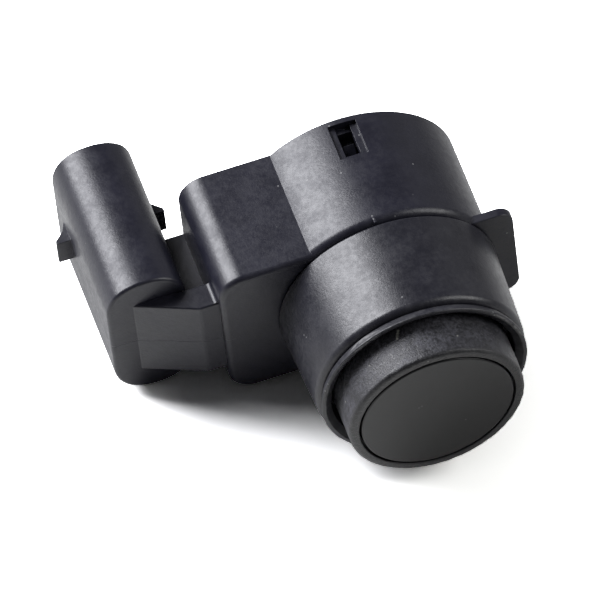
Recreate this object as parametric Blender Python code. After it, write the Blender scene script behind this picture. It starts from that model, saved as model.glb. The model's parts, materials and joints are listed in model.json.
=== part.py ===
# Ultrasonic parking sensor, lying on a bench as it comes to rest.
#
# Everything is modelled on the sensor's own axis: the membrane faces -Y with its centre at the
# origin, the barrel runs along +Y, and the connector stands off to -X. The whole sensor hangs on
# one empty, which is rolled about the barrel until barrel and connector both touch the bench.

import math

import bmesh
import bpy
from mathutils import Vector

mm = 0.001

# Membrane pot: an aluminium cup whose floor is the face that sounds
membrane_edge = 0.2 * mm
membrane_thickness = 0.8 * mm
pot_depth = 8.6 * mm
pot_wall = 1.95 * mm

# Piezo disc, damping felt, filling and the two leads inside the pot
piezo_inset = 2.1 * mm
piezo_thickness = 0.25 * mm
felt_thickness = 1.2 * mm
felt_standoff = 0.8 * mm
signal_lead_inset = 1.4 * mm
ground_lead_inset = 1.3 * mm
lead_radius = 0.15 * mm

# Decoupling ring of silicone rubber round the pot
shadow_gap = 0.2 * mm
rubber_wall = 0.95 * mm
rubber_roll = 0.45 * mm
rubber_flange_width = 0.9 * mm
rubber_flange_thickness = 2.4 * mm
rubber_back = 0.75 * mm
pot_support = 1.25 * mm

# Retaining ring: its lip shows in front of the sleeve
lip_setback = 3.87 * mm
lip_length = 0.85 * mm
lip_gap = 0.45 * mm
lip_step = 0.23 * mm
lip_width = 1.07 * mm
lip_edge = 0.15 * mm
ring_spigot_wall = 0.5 * mm
ring_spigot_length = 2.15 * mm

# Front sleeve, slightly tapered towards the face
sleeve_step = 0.18 * mm
sleeve_taper = 0.42 * mm
sleeve_fillet = 0.75 * mm
sleeve_rear_edge = 0.12 * mm
spigot_wall = 1.2 * mm
spigot_clearance = 0.5 * mm
spigot_length = 3.0 * mm
seam_gap = 0.12 * mm

# Sealing ring on the sleeve's spigot
seal_section = 0.8 * mm
seal_groove_depth = 0.75 * mm
seal_groove_width = 1.2 * mm
seal_from_front = 1.6 * mm
bore_ledge = 1.0 * mm
ledge_thickness = 0.5 * mm

# Housing: barrel
housing_front = 15.2 * mm
barrel_radius = 11.15 * mm
barrel_length = 13.0 * mm
barrel_fillet = 0.9 * mm
housing_wall = 1.55 * mm

# Housing: electronics box
box_reach = 16.35 * mm
box_half_height = 8.75 * mm
box_corner = 2.6 * mm
box_edge_fillet = 0.5 * mm
box_wall = 1.35 * mm
front_wall = 3.7 * mm

# Housing: connector shroud, an upright rounded slot open to the rear
shroud_offset = 22.75 * mm
shroud_width = 8.0 * mm
shroud_height = 16.5 * mm
shroud_corner = 3.35 * mm
shroud_setback = 3.4 * mm
shroud_length = 17.4 * mm
shroud_wall = 1.0 * mm
shroud_floor = 2.6 * mm
shroud_edge_fillet = 0.3 * mm

# Housing: arm and rib between box and shroud
arm_half_height = 5.2 * mm
arm_recess = 0.7 * mm
arm_flat = 1.85 * mm
arm_past_shroud = 1.45 * mm
arm_root_fillet = 0.5 * mm
rib_thickness = 1.2 * mm

# Housing: locating ear on the far side of the barrel
ear_reach = 13.1 * mm
ear_half_height = 6.1 * mm
ear_thickness = 0.95 * mm
ear_corner = 1.5 * mm

# Housing: latch lugs on both sides of the shroud
lug_height = 3.0 * mm
lug_proud = 1.45 * mm
lug_flat = 0.4 * mm
lug_ramp = 2.0 * mm
lug_knee_along = 0.45
lug_knee_proud = 0.35
lug_from_mouth = 5.2 * mm

# Housing: latch pocket in the top of the barrel, and the gusset across its front fillet
pocket_offset = 0.3 * mm
pocket_width = 2.8 * mm
pocket_length = 4.1 * mm
pocket_depth = 0.55 * mm
pocket_rim = 0.65 * mm
window_width = 1.5 * mm
window_inset = 0.45 * mm
gusset_offset = -0.32 * mm
gusset_width = 0.28 * mm
gusset_length = 1.3 * mm

# Rear cover with its latch hook and three posts
cover_thickness = 1.15 * mm
cover_lap = 0.7 * mm
cover_recess = 0.1 * mm
hook_width = 1.1 * mm
hook_thickness = 0.7 * mm
hook_length = 2.5 * mm
hook_sink = 0.5 * mm
hook_barb = 1.2 * mm
hook_barb_length = 1.1 * mm
post_radius = 0.8 * mm
post_angle = 38.0

# Circuit board and what stands on it
board_thickness = 1.0 * mm
board_margin = 0.25 * mm
chip_length = 4.0 * mm
chip_width = 5.0 * mm
chip_height = 1.5 * mm
chip_leg_count = 5
chip_leg_reach = 0.9 * mm
core_flange = 0.9 * mm
core_hub_radius = 1.3 * mm
core_height = 4.5 * mm
winding_inset = 0.2 * mm
can_radius = 1.7 * mm
can_height = 4.2 * mm
capacitor_size = (2.0 * mm, 1.2 * mm, 1.25 * mm)
resistor_size = (1.6 * mm, 0.5 * mm, 0.8 * mm)
diode_size = (2.6 * mm, 1.1 * mm, 1.5 * mm)
small_part_count = 3
small_part_pitch = 3.0 * mm
small_part_inset = 3.3 * mm
diode_inset = 1.8 * mm
component_gap = 0.5 * mm

# Contacts
contact_radius = 0.3 * mm
contact_tail = 1.0 * mm
holder_thickness = 1.6 * mm
holder_clearance = 0.3 * mm
terminal_width = 0.64 * mm
terminal_pitch = 3.8 * mm
terminal_count = 3
terminal_leg_inset = 2.1 * mm
terminal_depth = 2.2 * mm
terminal_from_mouth = 4.5 * mm
terminal_tip = 0.8 * mm

# Clearances between pieces
fit_gap = 0.1 * mm
bore_gap = 0.2 * mm
cut_margin = 1.0 * mm

outer_segments = 56
inner_segments = 32
corner_segments = 8
fillet_segments = 3

# Places along the axis, worked out from the sizes above
housing_rear = housing_front + barrel_length
shroud_front = housing_front + shroud_setback
shroud_mouth = shroud_front + shroud_length
shroud_cavity = shroud_front + shroud_floor
board_seat = housing_front + front_wall
board_front = board_seat + fit_gap
board_rear = board_front + board_thickness
cover_rear = housing_rear - cover_recess
cover_front = cover_rear - cover_thickness
cover_seat = cover_front - fit_gap
lip_rear = lip_setback + lip_length
sleeve_front = lip_rear + seam_gap
sleeve_rear = housing_front - seam_gap
sleeve_end = housing_front + spigot_length
rubber_rear = pot_depth + fit_gap + rubber_back
flange_front = lip_rear + ring_spigot_length + fit_gap
sleeve_shoulder = flange_front + rubber_flange_thickness + fit_gap
holder_front = max(rubber_rear, sleeve_shoulder) + holder_clearance
holder_rear = holder_front + holder_thickness
felt_front = membrane_thickness + piezo_thickness + felt_standoff
felt_rear = felt_front + felt_thickness

# Radii, worked out from the barrel inwards
sleeve_rear_radius = barrel_radius - sleeve_step
sleeve_front_radius = sleeve_rear_radius - sleeve_taper
lip_radius = sleeve_front_radius - lip_step
lip_inner = lip_radius - lip_width
rubber_radius = lip_inner - lip_gap
flange_radius = rubber_radius + rubber_flange_width
rubber_inner = rubber_radius - rubber_wall
membrane_radius = rubber_inner - shadow_gap
pot_inner = membrane_radius - pot_wall
filling_radius = pot_inner - fit_gap
piezo_radius = pot_inner - piezo_inset
signal_lead_x = piezo_radius - signal_lead_inset
ground_lead_x = ground_lead_inset - pot_inner
ring_spigot_radius = lip_inner + ring_spigot_wall
sleeve_bore = ring_spigot_radius + fit_gap
cavity_radius = barrel_radius - housing_wall
spigot_radius = cavity_radius - spigot_clearance
front_bore = spigot_radius + bore_gap
spigot_inner = spigot_radius - spigot_wall
holder_radius = spigot_inner - bore_gap
ledge_radius = front_bore - bore_ledge
box_cavity_reach = box_reach - box_wall
box_cavity_half = box_half_height - box_wall
box_cavity_corner = box_corner - box_wall

# The roll at which the barrel and the shroud's lower corner touch one level bench
corner_x = shroud_offset + shroud_width / 2 - shroud_corner
corner_z = shroud_height / 2 - shroud_corner
corner_reach = math.hypot(corner_x, corner_z)
rest_roll = math.asin((barrel_radius - shroud_corner) / corner_reach) - math.atan2(corner_z, corner_x)


def clear_scene():
    for old in list(bpy.data.objects):
        bpy.data.objects.remove(old, do_unlink=True)


def make_material(name, colour, roughness, metallic=0.0):
    material = bpy.data.materials.new(name)
    material.use_nodes = True
    shader = material.node_tree.nodes["Principled BSDF"]
    shader.inputs["Base Color"].default_value = (*colour, 1.0)
    shader.inputs["Roughness"].default_value = roughness
    shader.inputs["Metallic"].default_value = metallic
    return material


def add_object(name, bm, material=None, smooth_angle=35.0):
    bmesh.ops.remove_doubles(bm, verts=bm.verts, dist=1e-6)
    bmesh.ops.recalc_face_normals(bm, faces=bm.faces)
    mesh = bpy.data.meshes.new(name)
    bm.to_mesh(mesh)
    bm.free()
    mesh.shade_smooth()
    mesh.set_sharp_from_angle(angle=math.radians(smooth_angle))
    piece = bpy.data.objects.new(name, mesh)
    bpy.context.scene.collection.objects.link(piece)
    piece.parent = sensor_axis
    if material:
        piece.data.materials.append(material)
    return piece


def hide_cutter(cutter):
    cutter.hide_render = True
    cutter.display_type = "WIRE"
    return cutter


def combine(piece, operation, cutter):
    modifier = piece.modifiers.new(operation.lower() + " " + cutter.name, "BOOLEAN")
    modifier.operation = operation
    modifier.solver = "EXACT"
    modifier.object = hide_cutter(cutter)


def lathe(profile, segments):
    """Turn a closed profile of (radius, y) points round the sensor's axis."""
    bm = bmesh.new()
    points = [bm.verts.new((radius, y, 0.0)) for radius, y in profile]
    edges = [bm.edges.new((a, b)) for a, b in zip(points, points[1:] + points[:1])
             if not (a.co.x == 0.0 and b.co.x == 0.0)]
    bmesh.ops.spin(bm, geom=points + edges, axis=(0, 1, 0), cent=(0, 0, 0), angle=math.tau,
                   steps=segments, use_merge=True)
    return bm


def extrude(outline, direction, bm=None):
    """Make a prism from a flat outline; several prisms may share one mesh."""
    bm = bm or bmesh.new()
    face = bm.faces.new([bm.verts.new(point) for point in outline])
    copied = bmesh.ops.extrude_face_region(bm, geom=[face])["geom"]
    moved = [item for item in copied if isinstance(item, bmesh.types.BMVert)]
    bmesh.ops.translate(bm, verts=moved, vec=direction)
    bmesh.ops.recalc_face_normals(bm, faces=bm.faces)
    return bm


def box_mesh(low, high, bm=None):
    outline = [(low[0], low[1], low[2]), (high[0], low[1], low[2]),
               (high[0], low[1], high[2]), (low[0], low[1], high[2])]
    return extrude(outline, (0, high[1] - low[1], 0), bm)


def cylinder_mesh(centre_x, centre_z, radius, y0, y1, segments, bm=None):
    outline = []
    for step in range(segments):
        angle = math.tau * step / segments
        outline.append((centre_x + radius * math.cos(angle), y0, centre_z + radius * math.sin(angle)))
    return extrude(outline, (0, y1 - y0, 0), bm)


def arc(centre_x, centre_z, radius, start, end, steps):
    return [(centre_x + radius * math.cos(start + (end - start) * step / steps),
             centre_z + radius * math.sin(start + (end - start) * step / steps))
            for step in range(steps + 1)]


def rounded_slot(centre_x, width, height, corner):
    """Outline in x and z of an upright rounded rectangle, anticlockwise from its right side."""
    half_x = width / 2 - corner
    half_z = height / 2 - corner
    quarter = math.pi / 2
    outline = []
    for turn, (sign_x, sign_z) in enumerate(((1, 1), (-1, 1), (-1, -1), (1, -1))):
        outline += arc(centre_x + sign_x * half_x, sign_z * half_z, corner,
                       turn * quarter, (turn + 1) * quarter, corner_segments)
    return outline


def keyhole(radius, reach, half_height, corner):
    """Outline of a disc on the axis joined to a box that reaches out to -X."""
    meet = math.pi - math.asin(half_height / radius)
    outline = arc(0.0, 0.0, radius, -meet, meet, outer_segments * 3 // 4)
    outline += arc(corner - reach, half_height - corner, corner, math.pi / 2, math.pi, corner_segments)
    outline += arc(corner - reach, corner - half_height, corner, math.pi, math.pi * 1.5, corner_segments)
    return outline


def prism_y(outline, y0, y1, bm=None):
    return extrude([(x, y0, z) for x, z in outline], (0, y1 - y0, 0), bm)


def prism_z(outline, z0, z1, bm=None):
    return extrude([(x, y, z0) for x, y in outline], (0, 0, z1 - z0), bm)


def round_rim(bm, y, radius, segments=fillet_segments):
    """Round the edges that lie in the plane at y."""
    rim = [edge for edge in bm.edges if all(abs(vert.co.y - y) < 1e-7 for vert in edge.verts)]
    bmesh.ops.bevel(bm, geom=rim, offset=radius, segments=segments, profile=0.5, affect="EDGES")
    return bm


def convex_profile(radius, y, fillet, steps, rearwards=1):
    """Points of a rounded outer corner, from the flat face out to the cylinder."""
    points = []
    for step in range(steps + 1):
        angle = math.pi / 2 * step / steps
        points.append((radius - fillet + fillet * math.sin(angle),
                       y + rearwards * fillet * (1 - math.cos(angle))))
    return points


def strip_outline(points, half_width, tip=0.0):
    """Outline of a flat strip that follows points in x and y, with mitred bends."""
    directions = [(Vector(b) - Vector(a)).normalized() for a, b in zip(points, points[1:])]
    left = []
    right = []
    for index, point in enumerate(points):
        before = directions[max(index - 1, 0)]
        after = directions[min(index, len(directions) - 1)]
        normal = Vector((-(before + after).y, (before + after).x)).normalized()
        spread = half_width / normal.dot(Vector((-after.y, after.x)))
        left.append(Vector(point) + normal * spread)
        right.append(Vector(point) - normal * spread)
    if tip:
        end = Vector(points[-1])
        side = Vector((-directions[-1].y, directions[-1].x)) * half_width
        shoulder = end - directions[-1] * tip
        left[-1:] = [shoulder + side, end + side / 2]
        right[-1:] = [shoulder - side, end - side / 2]
    return [tuple(point) for point in left + right[::-1]]


def build_membrane_pot():
    profile = [(0.0, 0.0)]
    profile += convex_profile(membrane_radius, 0.0, membrane_edge, 2)
    profile += [(membrane_radius, pot_depth), (pot_inner, pot_depth),
                (pot_inner, membrane_thickness), (0.0, membrane_thickness)]
    add_object("membrane_pot", lathe(profile, outer_segments), painted_face)


def build_pot_contents():
    piezo_front = membrane_thickness + fit_gap / 2
    piezo = cylinder_mesh(0, 0, piezo_radius, piezo_front, piezo_front + piezo_thickness, inner_segments)
    add_object("piezo_disc", piezo, ceramic)
    felt = add_object("damping_felt", cylinder_mesh(0, 0, filling_radius, felt_front, felt_rear,
                                                    inner_segments), felt_grey)
    filling = add_object("pot_filling", cylinder_mesh(0, 0, filling_radius, felt_rear + fit_gap,
                                                      pot_depth, inner_segments), silicone)
    bore_radius = lead_radius + bore_gap
    bores = cylinder_mesh(signal_lead_x, 0, bore_radius, 0, rubber_rear, 10)
    bores = cylinder_mesh(ground_lead_x, 0, bore_radius, 0, rubber_rear, 10, bores)
    cutter = add_object("lead_bores", bores)
    combine(felt, "DIFFERENCE", cutter)
    combine(filling, "DIFFERENCE", cutter)
    lead_end = holder_front - contact_tail
    signal_start = piezo_front + piezo_thickness + fit_gap
    ground_start = membrane_thickness + fit_gap
    for name, x, start in (("signal_lead", signal_lead_x, signal_start),
                           ("ground_lead", ground_lead_x, ground_start)):
        add_object(name, cylinder_mesh(x, 0, lead_radius, start, lead_end - fit_gap, 8), tinned)


def build_decoupling_ring():
    pot_bore = membrane_radius + fit_gap
    profile = [(rubber_inner, 0.0)]
    profile += convex_profile(rubber_radius, 0.0, rubber_roll, fillet_segments)
    profile += [(rubber_radius, flange_front), (flange_radius, flange_front),
                (flange_radius, flange_front + rubber_flange_thickness),
                (membrane_radius, flange_front + rubber_flange_thickness),
                (membrane_radius, rubber_rear), (membrane_radius - pot_support, rubber_rear),
                (membrane_radius - pot_support, pot_depth + fit_gap), (pot_bore, pot_depth + fit_gap),
                (pot_bore, membrane_thickness), (rubber_inner, membrane_thickness)]
    add_object("decoupling_ring", lathe(profile, outer_segments), silicone_rubber)


def build_retaining_ring():
    profile = [(lip_inner, lip_setback)]
    profile += convex_profile(lip_radius, lip_setback, lip_edge, 1)
    profile += [(lip_radius, lip_rear), (ring_spigot_radius, lip_rear),
                (ring_spigot_radius, lip_rear + ring_spigot_length),
                (lip_inner, lip_rear + ring_spigot_length)]
    add_object("retaining_ring", lathe(profile, outer_segments), black_plastic)


def build_front_sleeve():
    groove_front = housing_front + seal_from_front - seal_groove_width / 2
    groove_rear = groove_front + seal_groove_width
    groove_floor = spigot_radius - seal_groove_depth
    profile = [(sleeve_bore, sleeve_front)]
    profile += convex_profile(sleeve_front_radius, sleeve_front, sleeve_fillet, fillet_segments + 1)
    profile += [(sleeve_rear_radius, sleeve_rear - sleeve_rear_edge),
                (sleeve_rear_radius - sleeve_rear_edge, sleeve_rear), (spigot_radius, sleeve_rear),
                (spigot_radius, groove_front), (groove_floor, groove_front),
                (groove_floor, groove_rear), (spigot_radius, groove_rear),
                (spigot_radius, sleeve_end), (spigot_inner, sleeve_end),
                (spigot_inner, sleeve_shoulder), (sleeve_bore, sleeve_shoulder)]
    add_object("front_sleeve", lathe(profile, outer_segments), black_plastic)

    tube_radius = seal_section / 2
    centre = groove_floor + fit_gap / 2 + tube_radius
    middle = housing_front + seal_from_front
    section = [(centre + tube_radius * math.cos(math.tau * step / 8),
                middle + tube_radius * math.sin(math.tau * step / 8)) for step in range(8)]
    add_object("sealing_ring", lathe(section, inner_segments), silicone)


def housing_outside():
    """Barrel, box, shroud, arm, rib, ear and lugs, joined into one moulding."""
    profile = [(0.0, housing_front)]
    profile += convex_profile(barrel_radius, housing_front, barrel_fillet, fillet_segments + 1)
    profile += [(barrel_radius, housing_rear), (0.0, housing_rear)]
    housing = add_object("housing", lathe(profile, outer_segments), black_plastic)

    box_outline = arc(box_corner - box_reach, box_half_height - box_corner, box_corner,
                      math.pi / 2, math.pi, corner_segments)
    box_outline += arc(box_corner - box_reach, box_corner - box_half_height, box_corner,
                       math.pi, math.pi * 1.5, corner_segments)
    box_outline += [(0.0, -box_half_height), (0.0, box_half_height)]
    box = round_rim(prism_y(box_outline, housing_front, housing_rear), housing_front, box_edge_fillet)
    combine(housing, "UNION", add_object("box_body", box))

    shroud = prism_y(rounded_slot(-shroud_offset, shroud_width, shroud_height, shroud_corner),
                     shroud_front, shroud_mouth)
    round_rim(shroud, shroud_front, shroud_edge_fillet, 2)
    combine(housing, "UNION", add_object("shroud_body", shroud))

    arm_front = housing_front + arm_recess
    knee_x = -box_reach - arm_flat
    toe_x = -shroud_offset - arm_past_shroud
    arm_outline = [(-box_reach + box_wall, arm_front), (knee_x, arm_front),
                   (toe_x, shroud_front), (toe_x, shroud_front + box_wall),
                   (-shroud_offset, shroud_front + box_wall),
                   (shroud_width / 2 - shroud_offset - shroud_wall, shroud_front),
                   (-box_reach + box_wall, shroud_front)]
    combine(housing, "UNION", add_object("arm_body", prism_z(arm_outline, -arm_half_height,
                                                             arm_half_height)))
    root_x = -box_reach
    fillet = [(root_x + box_wall / 2, arm_half_height - box_wall / 2),
              (root_x + box_wall / 2, arm_half_height + arm_root_fillet)]
    fillet += [(root_x - arm_root_fillet + arm_root_fillet * math.cos(angle),
                arm_half_height + arm_root_fillet - arm_root_fillet * math.sin(angle))
               for angle in (0.0, math.pi / 6, math.pi / 3, math.pi / 2)]
    fillet += [(root_x - arm_root_fillet, arm_half_height - box_wall / 2)]
    strips = None
    for side in (1, -1):
        strips = prism_y([(x, side * z) for x, z in fillet], arm_front + seam_gap,
                         shroud_front - seam_gap, strips)
    combine(housing, "UNION", add_object("arm_root_fillets", strips))

    rib = box_mesh((-shroud_offset + shroud_width / 2 - shroud_wall / 2, shroud_front - fit_gap,
                    -rib_thickness / 2),
                   (-box_reach + box_wall / 2, housing_rear, rib_thickness / 2))
    combine(housing, "UNION", add_object("shroud_rib", rib))

    ear_outline = [(0.0, -ear_half_height)]
    ear_outline += arc(ear_reach - ear_corner, ear_corner - ear_half_height, ear_corner,
                       -math.pi / 2, 0.0, 4)
    ear_outline += arc(ear_reach - ear_corner, ear_half_height - ear_corner, ear_corner,
                       0.0, math.pi / 2, 4)
    ear_outline += [(0.0, ear_half_height)]
    combine(housing, "UNION", add_object("locating_ear", prism_y(ear_outline, housing_front,
                                                                 housing_front + ear_thickness)))

    lug_front = shroud_mouth - lug_from_mouth
    lugs = None
    for side in (1, -1):
        wall_x = -shroud_offset + side * shroud_width / 2
        root = wall_x - side * shroud_wall / 2
        tip = wall_x + side * lug_proud
        outline = [(root, lug_front), (tip, lug_front), (tip, lug_front + lug_flat),
                   (wall_x + side * lug_proud * lug_knee_proud,
                    lug_front + lug_flat + lug_ramp * lug_knee_along),
                   (wall_x, lug_front + lug_flat + lug_ramp), (root, lug_front + lug_flat + lug_ramp)]
        lugs = prism_z(outline, -lug_height / 2, lug_height / 2, lugs)
    combine(housing, "UNION", add_object("latch_lugs", lugs))

    gusset = box_mesh((gusset_offset - gusset_width / 2, housing_front + fit_gap / 2,
                       barrel_radius - barrel_fillet - gusset_width),
                      (gusset_offset + gusset_width / 2, housing_front + gusset_length,
                       barrel_radius - fit_gap / 5))
    combine(housing, "UNION", add_object("rim_gusset", gusset))
    return housing


def terminal_route():
    """Centre line of a terminal: board, front wall, arm, then out into the shroud."""
    leg_x = terminal_leg_inset - box_cavity_reach
    run_y = housing_front + terminal_depth
    bend_x = -shroud_offset + shroud_width / 2 - terminal_width / 2
    return [(leg_x, board_rear + contact_tail), (leg_x, run_y), (bend_x, run_y),
            (-shroud_offset, shroud_cavity - shroud_floor / 2),
            (-shroud_offset, shroud_mouth - terminal_from_mouth)]


def terminal_heights():
    middle = (terminal_count - 1) / 2
    return [(index - middle) * terminal_pitch for index in range(terminal_count)]


def cut_housing(housing):
    """Hollow the housing: bores, cavity, cover seat, shroud, terminal channels and pocket."""
    ledge = board_seat - ledge_thickness
    bores = [(0.0, housing_front - cut_margin), (front_bore, housing_front - cut_margin),
             (front_bore, ledge), (ledge_radius, ledge), (ledge_radius, board_seat + fit_gap),
             (0.0, board_seat + fit_gap)]
    combine(housing, "DIFFERENCE", add_object("front_bore", lathe(bores, outer_segments)))

    cavity = keyhole(cavity_radius, box_cavity_reach, box_cavity_half, box_cavity_corner)
    combine(housing, "DIFFERENCE", add_object("board_cavity", prism_y(cavity, board_seat,
                                                                      housing_rear + cut_margin)))
    seat = keyhole(cavity_radius + cover_lap, box_cavity_reach + cover_lap,
                   box_cavity_half + cover_lap, box_cavity_corner + cover_lap)
    combine(housing, "DIFFERENCE", add_object("cover_seat", prism_y(seat, cover_seat,
                                                                    housing_rear + cut_margin)))

    slot = rounded_slot(-shroud_offset, shroud_width - 2 * shroud_wall, shroud_height - 2 * shroud_wall,
                        shroud_corner - shroud_wall)
    combine(housing, "DIFFERENCE", add_object("shroud_cavity", prism_y(slot, shroud_cavity,
                                                                       shroud_mouth + cut_margin)))
    channels = None
    channel_half = terminal_width / 2 + fit_gap
    for height in terminal_heights():
        channels = prism_z(strip_outline(terminal_route(), channel_half), height - channel_half,
                           height + channel_half, channels)
    combine(housing, "DIFFERENCE", add_object("terminal_channels", channels))

    pocket_rear = housing_rear - pocket_rim
    pocket_front = pocket_rear - pocket_length
    pocket = box_mesh((pocket_offset - pocket_width / 2, pocket_front, barrel_radius - pocket_depth),
                      (pocket_offset + pocket_width / 2, pocket_rear, barrel_radius + cut_margin))
    combine(housing, "DIFFERENCE", add_object("latch_pocket", pocket))
    window = box_mesh((pocket_offset - window_width / 2, pocket_front + window_inset,
                       cavity_radius - cut_margin),
                      (pocket_offset + window_width / 2, pocket_rear, barrel_radius + cut_margin))
    combine(housing, "DIFFERENCE", add_object("latch_window", window))


def build_contacts():
    bore_radius = contact_radius + fit_gap
    holder = add_object("contact_holder", cylinder_mesh(0, 0, holder_radius, holder_front, holder_rear,
                                                        inner_segments), black_plastic)
    bores = None
    for x in (signal_lead_x, ground_lead_x):
        bores = cylinder_mesh(x, 0, bore_radius, holder_front - cut_margin, board_rear + cut_margin,
                              12, bores)
    cutter = add_object("contact_bores", bores)
    combine(holder, "DIFFERENCE", cutter)
    for name, x in (("signal_contact", signal_lead_x), ("ground_contact", ground_lead_x)):
        pin = cylinder_mesh(x, 0, contact_radius, holder_front - contact_tail,
                            board_rear + contact_tail, 8)
        add_object(name, pin, tinned)
    return cutter


def build_terminals():
    for index, height in enumerate(terminal_heights()):
        outline = strip_outline(terminal_route(), terminal_width / 2, terminal_tip)
        strip = prism_z(outline, height - terminal_width / 2, height + terminal_width / 2)
        add_object("terminal_" + str(index + 1), strip, tinned)


def build_board(contact_bores):
    outline = keyhole(cavity_radius - board_margin, box_cavity_reach - board_margin,
                      box_cavity_half - board_margin, box_cavity_corner)
    board = add_object("circuit_board", prism_y(outline, board_front, board_rear), board_green)
    combine(board, "DIFFERENCE", contact_bores)
    holes = None
    hole_half = terminal_width / 2 + fit_gap
    leg_x = terminal_route()[0][0]
    for height in terminal_heights():
        holes = box_mesh((leg_x - hole_half, board_seat - cut_margin, height - hole_half),
                         (leg_x + hole_half, board_rear + cut_margin, height + hole_half), holes)
    combine(board, "DIFFERENCE", add_object("terminal_holes", holes))


def stand_block(name, centre_x, centre_z, size, material):
    """A small component block on the board; size is its length, height and width."""
    base = board_rear + fit_gap / 2
    block = box_mesh((centre_x - size[0] / 2, base, centre_z - size[2] / 2),
                     (centre_x + size[0] / 2, base + size[1], centre_z + size[2] / 2))
    return add_object(name, block, material)


def build_components():
    base = board_rear + fit_gap / 2
    chip_x = ground_lead_x - contact_radius - component_gap - chip_length / 2
    chip = stand_block("control_chip", chip_x, 0.0, (chip_length, chip_height, chip_width), chip_black)
    legs = None
    leg_pitch = chip_length / chip_leg_count
    for index in range(chip_leg_count):
        leg_x = chip_x - chip_length / 2 + (index + 0.5) * leg_pitch
        legs = box_mesh((leg_x - leg_pitch / 4, base, -chip_width / 2 - chip_leg_reach),
                        (leg_x + leg_pitch / 4, base + chip_height / 3,
                         chip_width / 2 + chip_leg_reach), legs)
    combine(chip, "UNION", add_object("chip_legs", legs))

    can_z = -(box_cavity_half - board_margin - can_radius)
    can = cylinder_mesh(chip_x, can_z, can_radius, base, base + can_height, 20)
    add_object("smoothing_capacitor", can, brushed_can)

    core_left = signal_lead_x + contact_radius + component_gap
    core_right = cavity_radius - board_margin - component_gap
    core_radius = (core_right - core_left) / 2
    core_x = core_left + core_radius
    top = base + core_height
    core = [(0.0, base), (core_radius, base), (core_radius, base + core_flange),
            (core_hub_radius, base + core_flange), (core_hub_radius, top - core_flange),
            (core_radius, top - core_flange), (core_radius, top), (0.0, top)]
    core_piece = add_object("transformer_core", lathe(core, 24), ferrite)
    core_piece.location.x = core_x
    winding_inner = core_hub_radius + fit_gap
    winding = [(winding_inner, base + core_flange + fit_gap),
               (core_radius - winding_inset, base + core_flange + fit_gap),
               (core_radius - winding_inset, top - core_flange - fit_gap),
               (winding_inner, top - core_flange - fit_gap)]
    winding_piece = add_object("transformer_winding", lathe(winding, 24), copper)
    winding_piece.location.x = core_x

    row_z = cavity_radius - small_part_inset
    row_start = -(small_part_count - 1) / 2 * small_part_pitch
    for index in range(small_part_count):
        x = row_start + index * small_part_pitch
        stand_block("ceramic_capacitor_" + str(index + 1), x, row_z, capacitor_size, capacitor_tan)
        stand_block("resistor_" + str(index + 1), x, -row_z, resistor_size, chip_black)
    diode_x = row_start - capacitor_size[0] / 2 - component_gap - diode_size[0] / 2
    stand_block("protection_diode", diode_x, box_cavity_half - diode_inset, diode_size, chip_black)


def build_rear_cover():
    margin = cover_lap - fit_gap
    outline = keyhole(cavity_radius + margin, box_cavity_reach + margin, box_cavity_half + margin,
                      box_cavity_corner + margin)
    cover = add_object("rear_cover", prism_y(outline, cover_front, cover_rear), black_plastic)

    hook_top = cavity_radius - bore_gap - hook_sink
    hook_low = hook_top - hook_thickness
    left = pocket_offset - hook_width / 2
    right = pocket_offset + hook_width / 2
    overlap = cover_thickness / 2
    hook = [(cover_front + overlap, hook_low), (cover_front + overlap, hook_top),
            (cover_front - hook_length + hook_barb_length, hook_top),
            (cover_front - hook_length + hook_barb_length, hook_top + hook_barb),
            (cover_front - hook_length, hook_top), (cover_front - hook_length, hook_low)]
    tongue = extrude([(left, y, z) for y, z in hook], (right - left, 0, 0))
    combine(cover, "UNION", add_object("latch_hook", tongue))

    posts = None
    post_ring = cavity_radius - board_margin - 2 * post_radius
    places = [(post_ring * math.cos(angle), post_ring * math.sin(angle))
              for angle in (math.radians(post_angle), -math.radians(post_angle))]
    places.append((-box_cavity_reach + board_margin + 2 * post_radius,
                   -box_cavity_half + board_margin + 1.5 * post_radius))
    for x, z in places:
        posts = cylinder_mesh(x, z, post_radius, board_rear + fit_gap, cover_front + overlap, 12, posts)
    combine(cover, "UNION", add_object("board_posts", posts))


clear_scene()
sensor_axis = bpy.data.objects.new("sensor_axis", None)
bpy.context.scene.collection.objects.link(sensor_axis)
sensor_axis.rotation_euler = (0.0, -rest_roll, 0.0)

black_plastic = make_material("black plastic", (0.028, 0.029, 0.032), 0.45)
painted_face = make_material("painted membrane", (0.045, 0.045, 0.047), 0.5)
silicone_rubber = make_material("scuffed rubber", (0.04, 0.041, 0.044), 0.7)
silicone = make_material("clear silicone", (0.55, 0.2, 0.14), 0.4)
ceramic = make_material("piezo ceramic", (0.62, 0.58, 0.45), 0.5)
felt_grey = make_material("felt", (0.3, 0.3, 0.3), 0.95)
tinned = make_material("tinned brass", (0.72, 0.7, 0.66), 0.3, 1.0)
board_green = make_material("circuit board", (0.02, 0.12, 0.05), 0.5)
chip_black = make_material("moulding compound", (0.02, 0.02, 0.02), 0.55)
capacitor_tan = make_material("capacitor ceramic", (0.42, 0.3, 0.19), 0.5)
brushed_can = make_material("aluminium can", (0.7, 0.71, 0.73), 0.35, 1.0)
ferrite = make_material("ferrite", (0.06, 0.06, 0.065), 0.6)
copper = make_material("copper wire", (0.65, 0.25, 0.1), 0.35, 1.0)

cut_housing(housing_outside())
build_front_sleeve()
build_retaining_ring()
build_decoupling_ring()
build_membrane_pot()
build_pot_contents()
build_board(build_contacts())
build_terminals()
build_components()
build_rear_cover()
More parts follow.
